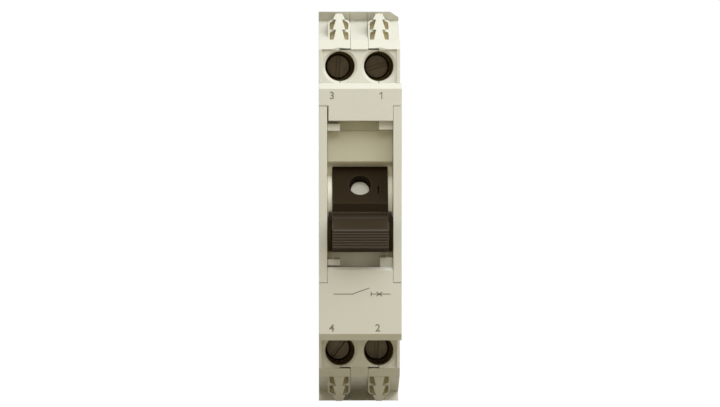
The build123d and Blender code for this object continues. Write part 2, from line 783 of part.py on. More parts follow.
hub_end = lane_latch[1] - 0.4
latch_pivot = (4.6, 0)
pivot_radius = 0.7
with BuildPart() as contact_carrier:
    disc(0, 0, carrier_hub, -lane_lug[1], hub_end, plane=carrier_plane)
    plate([(0, -carrier_hub + 0.4), (latch_pivot[0], -1.3), (latch_pivot[0] + 1.3, 0), (latch_pivot[0], 1.3),
           (0, carrier_hub - 0.4)], *lane_lug, plane=carrier_plane)
    disc(*latch_pivot, pivot_radius, lane_lug[0], lane_latch[1] + 0.1, plane=carrier_plane)
    disc(0, 0, carrier_axle_radius + axle_play, -20, 20, mode=Mode.SUBTRACT, plane=carrier_plane)
save(contact_carrier, "contact_carrier")

with BuildPart() as carrier_axle:
    disc(carrier_reach, carrier_height, carrier_axle_radius, -half_width + side_wall / 2 + 0.05,
         half_width - side_wall / 2 - 0.05)
save(carrier_axle, "carrier_axle")


def contact_arm(side):
    x_pair = sorted((side * lane_arm[0], side * lane_arm[1]))
    with BuildPart() as arm:
        disc(0, 0, eye_radius, *x_pair, plane=carrier_plane)
        plate([(-arm_length, -arm_half), (0, -arm_half - 0.6), (0, arm_half + 0.6),
               (-arm_length + 2 * tip_radius + 0.4, arm_half), (-arm_length, arm_half)],
              *x_pair, plane=carrier_plane)
        disc(0, 0, carrier_hub + 0.02, -20, 20, mode=Mode.SUBTRACT, plane=carrier_plane)
    return arm


tip_x = (lane_arm[0] + lane_arm[1]) / 2
for side, name in ((1, "pole_contact_arm"), (-1, "neutral_contact_arm")):
    save(contact_arm(side), name)

with BuildPart() as moving_tips:
    for side in (1, -1):
        x_pair = sorted((side * (tip_x - 0.7), side * (tip_x + 0.7)))
        plate([(-arm_length + 0.1, arm_half + 0.02), (-arm_length + 0.1 + 2 * tip_radius, arm_half + 0.02),
               (-arm_length + 0.3 + 2 * tip_radius - 0.4, arm_half + tip_height),
               (-arm_length + 0.3, arm_half + tip_height)], *x_pair, plane=carrier_plane)
save(moving_tips, "moving_contact_tips")

with BuildPart() as fixed_tips:
    for side in (1, -1):
        x_pair = sorted((side * (tip_x - 0.7), side * (tip_x + 0.7)))
        plate([(tip_reach - tip_radius, contact_under - tip_height + 0.2),
               (tip_reach + tip_radius, contact_under - tip_height + 0.2),
               (tip_reach + tip_radius, contact_under - 0.02),
               (tip_reach - tip_radius, contact_under - 0.02)], *x_pair)
save(fixed_tips, "fixed_contact_tips")


def spring(radius, wire, length, turns, place, direction):
    # a plain coil, centred on its axis, from a start point
    with BuildPart() as coil:
        with BuildLine() as path:
            Helix(pitch=(length - 2 * wire) / turns, height=length - 2 * wire, radius=radius,
                  center=place, direction=direction)
        with BuildSketch(Plane(origin=path.line @ 0, z_dir=path.line % 0)):
            Circle(wire)
        sweep(is_frenet=True)
    return coil


contact_springs_x = lane_arm[1] + 0.2
with BuildPart() as contact_springs:
    for side in (1, -1):
        start = contact_springs_x if side > 0 else -contact_springs_x - 0.4
        add(spring(carrier_hub + 0.22, 0.15, 0.7, 1.5, (start, -carrier_reach, carrier_height), (1, 0, 0)).part)
save(contact_springs, "contact_springs")
print("contacts")

# --- drive link: a bent wire from the toggle to the latch lever ---
link_x = drum_half - drum_wall - wire_link_radius - 0.15
foot_world = (carrier_reach + carrier_radius * cos(radians(rest_angle)),
              carrier_height + carrier_radius * sin(radians(rest_angle)))
with BuildPart() as drive_link:
    with BuildLine() as wire:
        FilletPolyline(
            (drum_half - 0.6, -crank[0], crank[1]),
            (link_x, -crank[0], crank[1]),
            (link_x, -foot_world[0], foot_world[1]),
            (lane_latch[1] + 0.15, -foot_world[0], foot_world[1]),
            radius=wire_link_radius * 1.5,
        )
    with BuildSketch(Plane(origin=wire.line @ 0, z_dir=wire.line % 0)):
        Circle(wire_link_radius)
    sweep()
save(drive_link, "drive_link")

# --- latch lever on the carrier, and the trip lever that holds it ---
slot_half = 1.15
slot_low = 0.5
with BuildPart() as latch_lever:
    plate([(latch_pivot[0] - 1.3, -0.6), (latch_pivot[0] - 0.9, -5.6), (latch_pivot[0] + 0.4, -5.6),
           (latch_pivot[0] + 1.0, -1.7), (carrier_radius + 1.3, -1.7), (carrier_radius + 1.3, 1.2),
           (latch_pivot[0] - 0.6, 1.2), (latch_pivot[0] - 1.3, 0.9)], *lane_latch, plane=carrier_plane)
    disc(*latch_pivot, pivot_radius + axle_play, -20, 20, mode=Mode.SUBTRACT, plane=carrier_plane)
    slot_middle = carrier_radius - 0.4
    slot_from = -wire_link_radius - slot_low
    slot_to = wire_link_radius + 0.25
    plate([(slot_middle - slot_half, slot_from), (slot_middle + slot_half, slot_from),
           (slot_middle + slot_half, slot_to), (slot_middle - slot_half, slot_to)],
          -20, 20, mode=Mode.SUBTRACT, plane=carrier_plane)
save(latch_lever, "latch_lever")

trip_arm = (-coil_offset / cos(radians(rest_angle)) - 0.28, 1.3)
with BuildPart() as trip_lever:
    disc(0, 0, 2.2, *lane_trip, plane=carrier_plane)
    plate([(0, -1.6), (trip_arm[0] + 1, trip_arm[1] - 0.7), (trip_arm[0] - 1.3, trip_arm[1] - 0.7),
           (trip_arm[0] - 1.3, trip_arm[1] + 0.5), (0, 1.8)], *lane_trip, plane=carrier_plane)
    plate([(trip_arm[0] - 1.3, trip_arm[1] - 0.7), (trip_arm[0] + 1.3, trip_arm[1] - 0.7),
           (trip_arm[0] + 1.3, trip_arm[1] + 0.5), (trip_arm[0] - 1.3, trip_arm[1] + 0.5)],
          pole_x - 0.9, lane_trip[1], plane=carrier_plane)
    plate([(-1.6, 0), (-1.2, -7.3), (0.2, -7.3), (1.6, 0)], *lane_trip, plane=carrier_plane)
    plate([(0, -1.8), (5.15, -5.6), (6.15, -5.6), (6.15, -4.3), (1.0, 1.0)], *lane_trip, plane=carrier_plane)
    plate([(5.15, -5.6), (6.15, -5.6), (6.15, -4.3), (5.15, -4.3)], lane_latch[0] + 0.1, lane_trip[1],
          plane=carrier_plane)
    disc(0, 0, carrier_axle_radius + axle_play, -20, 20, mode=Mode.SUBTRACT, plane=carrier_plane)
save(trip_lever, "trip_lever")
print("linkage")

# --- magnetic trip: spool, winding, core, plunger and its spring, and the yoke that carries the contact ---
with BuildPart() as coil_spool:
    with BuildSketch(Plane.XY.offset(coil_base)) as flange:
        with Locations((pole_x, -coil_reach)):
            Circle(spool_radius)
            Circle(core_radius + core_play, mode=Mode.SUBTRACT)
    extrude(flange.sketch, amount=0.8)
    with BuildSketch(Plane.XY.offset(coil_base)) as tube:
        with Locations((pole_x, -coil_reach)):
            Circle(core_radius + core_play + 0.45)
            Circle(core_radius + core_play, mode=Mode.SUBTRACT)
    extrude(tube.sketch, amount=spool_height)
    with BuildSketch(Plane.XY.offset(coil_base + spool_height - 0.8)) as flange:
        with Locations((pole_x, -coil_reach)):
            Circle(spool_radius)
            Circle(core_radius + core_play, mode=Mode.SUBTRACT)
    extrude(flange.sketch, amount=0.8)
save(coil_spool, "coil_spool")

with BuildPart() as trip_coil:
    with BuildSketch(Plane.XY.offset(coil_base + 0.85)) as winding:
        with Locations((pole_x, -coil_reach)):
            Circle(coil_radius - 0.15)
            Circle(core_radius + core_play + 0.5, mode=Mode.SUBTRACT)
    extrude(winding.sketch, amount=spool_height - 1.7)
    turns = 13
    for turn_number in range(turns):
        height = coil_base + 0.85 + (turn_number + 0.5) * (spool_height - 1.7) / turns
        with Locations(Location((pole_x, -coil_reach, height))):
            Torus(coil_radius - 0.35, (spool_height - 1.7) / turns / 2 - 0.03)
save(trip_coil, "trip_coil")

with BuildPart() as coil_core:
    with BuildSketch(Plane.XY.offset(coil_base)) as core:
        with Locations((pole_x, -coil_reach)):
            Circle(core_radius)
            Circle(pin_radius + 0.1, mode=Mode.SUBTRACT)
    extrude(core.sketch, amount=core_height)
save(coil_core, "coil_core")

spring_room = 2.0
plunger_low = coil_base + core_height + spring_room
pin_end = -2.3
with BuildPart() as plunger:
    with BuildSketch(Plane.XY.offset(plunger_low)) as body:
        with Locations((pole_x, -coil_reach)):
            Circle(core_radius)
    extrude(body.sketch, amount=coil_base + spool_height - plunger_low - 0.4)
    with BuildSketch(Plane.XY.offset(pin_end)) as pin:
        with Locations((pole_x, -coil_reach)):
            Circle(pin_radius)
    extrude(pin.sketch, amount=plunger_low - pin_end)
save(plunger, "plunger")

save(spring(pin_radius + 0.28, 0.14, spring_room - 0.04, 3,
            (pole_x, -coil_reach, coil_base + core_height + 0.16), (0, 0, 1)), "plunger_spring")

yoke_half = spool_radius - 0.15
yoke_back = coil_reach - spool_radius - 0.2
yoke_front = coil_reach + spool_radius
yoke_top = coil_base + spool_height + 0.05
with BuildPart() as coil_yoke:
    x_pair = (pole_x - yoke_half, pole_x + yoke_half)
    plate([(yoke_back - yoke_plate, coil_base - 0.05 - yoke_plate), (yoke_front, coil_base - 0.05 - yoke_plate),
           (yoke_front, coil_base - 0.05), (yoke_back, coil_base - 0.05), (yoke_back, yoke_top),
           (yoke_front, yoke_top), (yoke_front, yoke_top + yoke_plate),
           (yoke_back - yoke_plate, yoke_top + yoke_plate)], *x_pair)
    with BuildSketch(Plane.XY.offset(coil_base - 2)) as hole:
        with Locations((pole_x, -coil_reach)):
            Circle(pin_radius + 0.1)
    extrude(hole.sketch, amount=3, mode=Mode.SUBTRACT)
save(coil_yoke, "coil_yoke")

with BuildPart() as fixed_contact:
    under_yoke = coil_base - 0.1 - yoke_plate
    plate([(fall - strip, contact_under), (tip_reach + 2.0, contact_under),
           (tip_reach + 2.0, contact_under + strip), (fall, contact_under + strip), (fall, under_yoke),
           (coil_reach - 2, under_yoke), (coil_reach - 2, under_yoke - strip),
           (fall - strip, under_yoke - strip)], wall_x + 0.3, pole_x - pin_radius - 0.5)
save(fixed_contact, "fixed_contact")

# --- thermal trip: the bimetal strip and its setting screw ---
with BuildPart() as bimetal_strip:
    plate([(bar_front + 0.03, strip_foot), (bar_front + 0.03 + bimetal_thickness, strip_foot),
           (bar_front + 0.03 + bimetal_thickness, strip_foot + bimetal_length),
           (bar_front + 0.03, strip_foot + bimetal_length)], wall_x + 0.6, lane_trip[1] - 0.2)
save(bimetal_strip, "bimetal_strip")

with BuildPart() as setting_screw:
    bore(pole_x, set_screw_z, set_radius, bar_back - 1.6, bar_front, mode=Mode.ADD)
    bore(pole_x, set_screw_z, set_radius + 0.55, bar_back - 2.6, bar_back - 1.4, mode=Mode.ADD)
    with BuildSketch(Plane.XZ.offset(bar_back - 3)) as slot:
        with Locations((pole_x, set_screw_z)):
            Rectangle(0.4, 4)
    extrude(slot.sketch, amount=0.9, mode=Mode.SUBTRACT)
save(setting_screw, "setting_screw")


# --- braids from the arms' eyes to the bimetal and to clamp 4 ---
def braid(x, start, middle, stop, radius=0.55):
    with BuildPart() as tube:
        with BuildLine() as path:
            FilletPolyline((x, -start[0], start[1]), (x, -middle[0], middle[1]), (x, -stop[0], stop[1]),
                           radius=1.6)
        with BuildSketch(Plane(origin=path.line @ 0, z_dir=path.line % 0)):
            Circle(radius)
        sweep()
    return tube


braid_radius = 0.55
eye_under = carrier_height - eye_radius - 0.25
braid_back = bar_front + bimetal_thickness + 0.08 + braid_radius
save(braid(tip_x + 0.1, (carrier_reach, eye_under), (braid_back, eye_under - 4), (braid_back, eye_under - 8)),
     "pole_braid")
save(braid(-tip_x - 0.3, (carrier_reach, eye_under), (bar_front + braid_radius + 0.05, eye_under - 4),
           (bar_front + braid_radius + 0.05, eye_under - 9)), "neutral_braid")
print("trip unit")

# --- arc chute ---
chute_back = rim_wall + 0.6
chute_front = coil_reach - spool_radius - 0.3
chute_top = -1.6
chute_plates = 8
chute_pitch = 2.2
with BuildPart() as arc_plates:
    for number in range(chute_plates):
        with BuildSketch(Plane.XY.offset(chute_top - number * chute_pitch)) as splitter:
            with BuildLine():
                Polyline(
                    (wall_x + 0.6, -chute_back),
                    (inner_x - 0.5, -chute_back),
                    (inner_x - 0.5, -chute_front),
                    (pole_x + 0.9, -chute_front),
                    (pole_x, -chute_front + 3.2),
                    (pole_x - 0.9, -chute_front),
                    (wall_x + 0.6, -chute_front),
                    close=True,
                )
            make_face()
        extrude(splitter.sketch, amount=-0.8)
save(arc_plates, "arc_plates")

with BuildPart() as arc_cheeks:
    low = chute_top - (chute_plates - 1) * chute_pitch - 1.6
    for x_pair in ((wall_x + 0.1, wall_x + 0.55), (inner_x - 0.45, inner_x - 0.1)):
        plate([(chute_back, low), (chute_front - 0.5, low), (chute_front - 0.5, chute_top + 0.8),
               (chute_back, chute_top + 0.8)], *x_pair)
save(arc_cheeks, "arc_cheeks")

# --- rail clip and its spring ---
clip_nose = seat_edge - rail_play - hook_reach
clip_end = end + 1.6
clip_window_top = clip_post_z - 8.0
spring_play = 0.1
with BuildPart() as rail_clip:
    plate([(-clip_flange_back, -end), (-clip_flange_front, -end), (-clip_flange_front, -seat_edge + 0.1),
           (-clip_flange_back, -seat_edge + 0.1)], -clip_half, clip_half)
    plate([(-foot_depth + 0.2, -clip_end), (-clip_flange_back + 0.01, -clip_end),
           (-clip_flange_back + 0.01, -seat_edge + 0.2), (-groove - 0.15, -clip_nose - 0.6),
           (-groove - 0.15, -clip_nose), (-groove - 1.0, -clip_nose),
           (-foot_depth + 0.2, -seat_edge + 0.2)], -clip_neck, clip_neck)
    plate([(-20, -clip_post_z - 4.2), (20, -clip_post_z - 4.2), (20, -clip_window_top),
           (-20, -clip_window_top)], -1.5, 1.5, mode=Mode.SUBTRACT)
    plate([(-20, -clip_end + 0.7), (20, -clip_end + 0.7), (20, -clip_end + 1.5), (-20, -clip_end + 1.5)],
          -1.2, 1.2, mode=Mode.SUBTRACT)
save(rail_clip, "rail_clip")

clip_spring_length = clip_post_z - clip_post_half - clip_window_top - spring_play
save(spring(1.1, 0.2, clip_spring_length, 7,
            (0, (clip_flange_front + foot_depth) / 2, -clip_post_z + clip_post_half + 0.2 + spring_play / 2),
            (0, 0, 1)), "clip_spring")
save(spring(boss_radius + 0.42, 0.28, 2.8, 4, (0.2 - cheek, -toggle_reach, toggle_height), (1, 0, 0)), "toggle_spring")
save(spring(carrier_axle_radius + 0.45, 0.12, 0.5, 1.5, (lane_trip[1] + 0.16, -carrier_reach, carrier_height),
            (1, 0, 0)), "trip_spring")
print("clip")
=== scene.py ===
import bpy, bmesh, json, math
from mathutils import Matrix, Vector


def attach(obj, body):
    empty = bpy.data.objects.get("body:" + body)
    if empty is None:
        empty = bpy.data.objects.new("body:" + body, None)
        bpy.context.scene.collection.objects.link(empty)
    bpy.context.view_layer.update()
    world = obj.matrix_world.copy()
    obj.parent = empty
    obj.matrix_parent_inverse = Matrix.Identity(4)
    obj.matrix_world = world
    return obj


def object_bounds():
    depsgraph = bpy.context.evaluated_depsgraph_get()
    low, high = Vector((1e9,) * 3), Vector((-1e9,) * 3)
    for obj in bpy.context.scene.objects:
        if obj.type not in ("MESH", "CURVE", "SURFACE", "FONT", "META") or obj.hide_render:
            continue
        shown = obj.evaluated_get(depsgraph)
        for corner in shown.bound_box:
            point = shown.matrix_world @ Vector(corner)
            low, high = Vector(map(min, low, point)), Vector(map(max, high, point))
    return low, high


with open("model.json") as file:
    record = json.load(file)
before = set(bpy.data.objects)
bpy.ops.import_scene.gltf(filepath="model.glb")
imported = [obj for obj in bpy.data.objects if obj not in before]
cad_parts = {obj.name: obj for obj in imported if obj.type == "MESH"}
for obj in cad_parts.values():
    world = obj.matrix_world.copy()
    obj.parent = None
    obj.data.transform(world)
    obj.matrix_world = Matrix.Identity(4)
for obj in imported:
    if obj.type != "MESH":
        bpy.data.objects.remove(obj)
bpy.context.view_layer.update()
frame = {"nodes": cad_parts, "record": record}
nodes = frame["nodes"]
bpy.ops.object.select_all(action="DESELECT")
print("packed model loaded:", len(nodes), "nodes")

mm = 0.001


def toLinear(hexColour):
    # sRGB hex to the linear values that shaders work in
    parts = [int(hexColour[i:i + 2], 16) / 255 for i in (1, 3, 5)]
    return tuple(v / 12.92 if v <= 0.04045 else ((v + 0.055) / 1.055) ** 2.4 for v in parts) + (1.0,)


def addNode(material, kind, settings=None, links=None):
    # one node, its settings, and what goes into its sockets
    node = material.node_tree.nodes.new(kind)
    for key, value in (settings or {}).items():
        if isinstance(key, str) and hasattr(node, key):
            setattr(node, key, value)
        else:
            node.inputs[key].default_value = value
    for key, source in (links or {}).items():
        material.node_tree.links.new(source, node.inputs[key])
    return node


def newMaterial(name):
    material = bpy.data.materials.new(name)
    material.use_nodes = True
    material.node_tree.nodes.clear()
    return material


def driftingTone(material, noise, look):
    # a colour that wanders between the two tones of a batch
    tone = addNode(material, "ShaderNodeMix",
                   {"data_type": "RGBA", 6: toLinear(look["low"]), 7: toLinear(look["high"])},
                   {0: noise.outputs["Fac"]})
    return tone.outputs[2]


def tinted(material, share, plain, hexColour):
    # another colour over the plain one, where the share says so
    colour = addNode(material, "ShaderNodeMix", {"data_type": "RGBA", 7: toLinear(hexColour)},
                     {0: share, 6: plain})
    return colour.outputs[2]


def insideBox(material, position, box):
    # 1 where a position lies between the box's low and high corners
    middle = [(a + b) / 2 for a, b in zip(box["low"], box["high"])]
    half = [(b - a) / 2 for a, b in zip(box["low"], box["high"])]
    offset = addNode(material, "ShaderNodeVectorMath", {"operation": "SUBTRACT", 1: middle}, {0: position})
    far = addNode(material, "ShaderNodeVectorMath", {"operation": "ABSOLUTE"}, {0: offset.outputs[0]})
    share = addNode(material, "ShaderNodeVectorMath", {"operation": "DIVIDE", 1: half}, {0: far.outputs[0]})
    parts = addNode(material, "ShaderNodeSeparateXYZ", {}, {0: share.outputs[0]})
    widest = addNode(material, "ShaderNodeMath", {"operation": "MAXIMUM"},
                     {0: parts.outputs[0], 1: parts.outputs[1]})
    most = addNode(material, "ShaderNodeMath", {"operation": "MAXIMUM"},
                   {0: widest.outputs[0], 1: parts.outputs[2]})
    inside = addNode(material, "ShaderNodeMath", {"operation": "LESS_THAN", 1: 1.0}, {0: most.outputs[0]})
    return inside.outputs[0]


def paintedTunnelShade(material, place, plain, tunnelShade):
    # painted shade: the four screwdriver tunnels, mirrored about both middles, are coloured dark brown where
    # shade falls deep inside them
    unsigned = addNode(material, "ShaderNodeVectorMath", {"operation": "ABSOLUTE"}, {0: place})
    offset = addNode(material, "ShaderNodeVectorMath", {"operation": "SUBTRACT", 1: tunnelShade["axis"]},
                     {0: unsigned.outputs[0]})
    across = addNode(material, "ShaderNodeVectorMath", {"operation": "MULTIPLY", 1: (1, 0, 1)},
                     {0: offset.outputs[0]})
    radius = addNode(material, "ShaderNodeVectorMath", {"operation": "LENGTH"}, {0: across.outputs[0]})
    inside = addNode(material, "ShaderNodeMapRange",
                     {"From Min": tunnelShade["radius"] + tunnelShade["fadeOutside"],
                      "From Max": tunnelShade["radius"] - tunnelShade["fadeInside"], "To Min": 0.0, "To Max": 1.0},
                     {"Value": radius.outputs["Value"]})
    parts = addNode(material, "ShaderNodeSeparateXYZ", {}, {0: place})
    front = addNode(material, "ShaderNodeMath", {"operation": "LESS_THAN", 1: tunnelShade["deepest"]},
                    {0: parts.outputs["Y"]})
    dark = addNode(material, "ShaderNodeMath", {"operation": "MULTIPLY"},
                   {0: inside.outputs["Result"], 1: front.outputs[0]})
    return tinted(material, dark.outputs[0], plain, tunnelShade["colour"]), dark.outputs[0]


def paintedWellShadeAndLight(material, place, plain, boxes):
    # painted shade and light in the well, mirrored left and right, each box with its own tone: darker where
    # shade falls, paler on the shaded ledges beside the drum
    unsigned = addNode(material, "ShaderNodeVectorMath", {"operation": "ABSOLUTE"}, {0: place})
    across = addNode(material, "ShaderNodeSeparateXYZ", {}, {0: unsigned.outputs[0]})
    along = addNode(material, "ShaderNodeSeparateXYZ", {}, {0: place})
    folded = addNode(material, "ShaderNodeCombineXYZ", {},
                     {0: across.outputs[0], 1: along.outputs[1], 2: along.outputs[2]})
    colour = plain
    for box in boxes:
        colour = tinted(material, insideBox(material, folded.outputs[0], box), colour, box["colour"])
    return colour


def paintedScoopShade(material, place, plain, scoop):
    # painted shade: the hollows of the four notched guides, mirrored about both middles, are tinted a warmer
    # khaki where shade falls inside them
    unsigned = addNode(material, "ShaderNodeVectorMath", {"operation": "ABSOLUTE"}, {0: place})
    height = addNode(material, "ShaderNodeVectorMath", {"operation": "DOT_PRODUCT", 1: scoop["rimNormal"]},
                     {0: unsigned.outputs[0]})
    behind = addNode(material, "ShaderNodeMath", {"operation": "LESS_THAN", 1: scoop["rim"]},
                     {0: height.outputs["Value"]})
    inScoopShade = addNode(material, "ShaderNodeMath", {"operation": "MULTIPLY"},
                    {0: insideBox(material, unsigned.outputs[0], scoop), 1: behind.outputs[0]})
    return tinted(material, inScoopShade.outputs[0], plain, scoop["colour"])


def drumTonePaintedShadeAndHighlight(material, place, plain, drum):
    # the drum is darker and duller than the grip; below its parting line the lever is darker and duller too,
    # a painted shade on its down-facing underside
    offset = addNode(material, "ShaderNodeVectorMath", {"operation": "SUBTRACT", 1: drum["axis"]}, {0: place})
    across = addNode(material, "ShaderNodeVectorMath", {"operation": "MULTIPLY", 1: (0, 1, 1)},
                     {0: offset.outputs[0]})
    radius = addNode(material, "ShaderNodeVectorMath", {"operation": "LENGTH"}, {0: across.outputs[0]})
    inside = addNode(material, "ShaderNodeMapRange",
                     {"From Min": drum["radius"] + drum["fade"], "From Max": drum["radius"],
                      "To Min": 0.0, "To Max": 1.0},
                     {"Value": radius.outputs["Value"]})
    parts = addNode(material, "ShaderNodeSeparateXYZ", {}, {0: place})
    side = addNode(material, "ShaderNodeMath", {"operation": "ABSOLUTE"}, {0: parts.outputs["X"]})
    between = addNode(material, "ShaderNodeMath", {"operation": "LESS_THAN", 1: drum["halfWidth"]},
                      {0: side.outputs[0]})
    onDrum = addNode(material, "ShaderNodeMath", {"operation": "MULTIPLY"},
                     {0: inside.outputs["Result"], 1: between.outputs[0]})
    below = addNode(material, "ShaderNodeMath", {"operation": "LESS_THAN", 1: drum["parting"]},
                    {0: parts.outputs["Z"]})
    dull = addNode(material, "ShaderNodeMath", {"operation": "MAXIMUM"},
                   {0: onDrum.outputs[0], 1: below.outputs[0]})
    colour = tinted(material, dull.outputs[0], plain, drum["colour"])
    # painted highlight: the crests of the grip ribs are painted paler where the light catches them
    ahead = addNode(material, "ShaderNodeVectorMath", {"operation": "DOT_PRODUCT", 1: drum["gripNormal"]},
                    {0: place})
    crest = addNode(material, "ShaderNodeMapRange",
                    {"From Min": drum["gripFace"] + drum["crestFoot"],
                     "From Max": drum["gripFace"] + drum["crestTop"],
                     "To Min": 0.0, "To Max": drum["crestHighlight"]},
                    {"Value": ahead.outputs["Value"]})
    return tinted(material, crest.outputs["Result"], colour, drum["crestHighlightColour"]), dull.outputs[0]


# what every moulded plastic shares: the detail of its noise, the depth of its grain, how far its gloss
# varies, and how closely two normals agree where an edge isn't paled yet
moulding = {"flowDetail": 3.0, "grainDetail": 2.0, "grainDepth": 0.04 * mm, "glossSpread": 0.05,
            "roundingSamples": 6, "stillFlat": 0.995}


def mouldedPlastic(name, look):
    # a moulded surface: slight tone drift from flow, fine spark-eroded grain, paler edges that are partly
    # wear and partly a painted highlight
    material = newMaterial(name)
    place = addNode(material, "ShaderNodeTexCoord").outputs["Object"]
    flow = addNode(material, "ShaderNodeTexNoise",
                   {"Scale": look["driftScale"], "Detail": moulding["flowDetail"]}, {"Vector": place})
    colour = driftingTone(material, flow, look)
    dull = None
    if "drum" in look:
        colour, dull = drumTonePaintedShadeAndHighlight(material, place, colour, look["drum"])
    rounded = addNode(material, "ShaderNodeBevel",
                      {"samples": moulding["roundingSamples"], "Radius": look["edge"]})
    flat = addNode(material, "ShaderNodeNewGeometry")
    agree = addNode(material, "ShaderNodeVectorMath", {"operation": "DOT_PRODUCT"},
                    {0: rounded.outputs["Normal"], 1: flat.outputs["Normal"]})
    # paler edges: partly wear, partly a painted highlight along the rounded edges
    wornAndHighlitEdge = addNode(material, "ShaderNodeMapRange",
                   {"From Min": moulding["stillFlat"], "From Max": look["wearAndHighlightFrom"],
                    "To Min": 0.0, "To Max": look["wearAndHighlight"]},
                   {"Value": agree.outputs["Value"]})
    colour = tinted(material, wornAndHighlitEdge.outputs["Result"], colour, look["wearAndHighlightColour"])
    if "mark" in look:
        colour = tinted(material, insideBox(material, place, look["mark"]), colour, look["mark"]["colour"])
    if "scoop" in look:
        colour = paintedScoopShade(material, place, colour, look["scoop"])
    if "paintedShadeAndLight" in look:
        colour = paintedWellShadeAndLight(material, place, colour, look["paintedShadeAndLight"])
    if "tunnelShade" in look:
        colour, dull = paintedTunnelShade(material, place, colour, look["tunnelShade"])
    grain = addNode(material, "ShaderNodeTexNoise",
                    {"Scale": look["grainScale"], "Detail": moulding["grainDetail"]}, {"Vector": place})
    relief = addNode(material, "ShaderNodeBump",
                     {"Strength": look["grain"], "Distance": moulding["grainDepth"]},
                     {"Height": grain.outputs["Fac"], "Normal": rounded.outputs["Normal"]})
    sheen = addNode(material, "ShaderNodeMapRange",
                    {"To Min": look["rough"] - moulding["glossSpread"],
                     "To Max": look["rough"] + moulding["glossSpread"]},
                    {"Value": grain.outputs["Fac"]})
    roughness = sheen.outputs["Result"]
    if dull:
        dulled = addNode(material, "ShaderNodeMix", {3: look["dullRough"]}, {0: dull, 2: roughness})
        roughness = dulled.outputs[0]
    shader = addNode(material, "ShaderNodeBsdfPrincipled",
                     {"IOR": look["ior"], "Specular IOR Level": look["specular"]},
                     {"Base Color": colour, "Roughness": roughness, "Normal": relief.outputs["Normal"]})
    addNode(material, "ShaderNodeOutputMaterial", {}, {"Surface": shader.outputs["BSDF"]})
    return material


# what every metal shares: the streaks that rolling and turning leave, and the patches of tarnish
metalwork = {"streakScale": 900.0, "streakDetail": 3.0, "streakStrength": 0.25, "streakDepth": 0.02 * mm,
             "tarnishScale": 350.0, "tarnishDetail": 4.0, "glossSpread": 0.08, "roundingSamples": 4}


def metalFinish(name, look):
    # rolled or turned metal: fine streaks across, a little tarnish in patches
    material = newMaterial(name)
    place = addNode(material, "ShaderNodeTexCoord").outputs["Object"]
    stretch = addNode(material, "ShaderNodeMapping", {"Scale": look["streak"]}, {"Vector": place})
    streaks = addNode(material, "ShaderNodeTexNoise",
                      {"Scale": metalwork["streakScale"], "Detail": metalwork["streakDetail"]},
                      {"Vector": stretch.outputs["Vector"]})
    tarnish = addNode(material, "ShaderNodeTexNoise",
                      {"Scale": metalwork["tarnishScale"], "Detail": metalwork["tarnishDetail"]},
                      {"Vector": place})
    rounded = addNode(material, "ShaderNodeBevel",
                      {"samples": metalwork["roundingSamples"], "Radius": look["edge"]})
    relief = addNode(material, "ShaderNodeBump",
                     {"Strength": metalwork["streakStrength"], "Distance": metalwork["streakDepth"]},
                     {"Height": streaks.outputs["Fac"], "Normal": rounded.outputs["Normal"]})
    sheen = addNode(material, "ShaderNodeMapRange",
                    {"To Min": look["rough"] - metalwork["glossSpread"],
                     "To Max": look["rough"] + metalwork["glossSpread"]},
                    {"Value": streaks.outputs["Fac"]})
    shader = addNode(material, "ShaderNodeBsdfPrincipled", {"Metallic": 1.0},
                     {"Base Color": driftingTone(material, tarnish, look),
                      "Roughness": sheen.outputs["Result"], "Normal": relief.outputs["Normal"]})
    addNode(material, "ShaderNodeOutputMaterial", {}, {"Surface": shader.outputs["BSDF"]})
    return material


# glass-filled polyamide, moulded on a spark-eroded tool: satin, warm light grey
housingLook = {
    "low": "#cac8ba", "high": "#d2d0c4", "wearAndHighlightColour": "#dedccf", "driftScale": 60.0, "grainScale": 3500.0,
    "grain": 0.25, "edge": 0.00022, "wearAndHighlight": 0.5, "wearAndHighlightFrom": 0.85, "rough": 0.52, "ior": 1.53,
    "specular": 0.32}
casingPolyamide = mouldedPlastic("casingPolyamide", {
    **housingLook, "dullRough": 1.0,
    # painted shade deep inside the four screwdriver tunnels
    "tunnelShade": {"axis": (0.004115, 0.0, 0.0302), "radius": 0.00315, "fadeOutside": 0.00006,
               "fadeInside": 0.00004, "deepest": -0.033, "colour": "#6e5e3c"},
    # painted shade in the hollows of the notched guides
    "scoop": {"low": (0.0021, 0.0355, 0.0358), "high": (0.0064, 0.0425, 0.03976), "colour": "#dcd3b2",
              "rimNormal": (0, 1, 0.8307), "rim": 0.07131}})
# the same polyamide for the cover, with painted shade and light in its well: painted shade on its label
# floor, painted light on the ledges above the lever, painted shade on the walls beside the lever and on the
# walls at its foot
coverPolyamide = mouldedPlastic("coverPolyamide", {
    **housingLook,
    "paintedShadeAndLight": [
        {"low": (-0.001, -0.0556, 0.0095), "high": (0.0071, -0.04, 0.0215), "colour": "#bfbaa3"},
        {"low": (0.0056, -0.0572, -0.0012), "high": (0.0071, -0.04, 0.0094), "colour": "#efead2"},
        {"low": (0.0058, -0.0577, -0.0087), "high": (0.0071, -0.04, -0.0012), "colour": "#8c7a4e"},
        {"low": (0.0058, -0.0572, -0.0106), "high": (0.0071, -0.04, -0.0087), "colour": "#a99d78"}]})
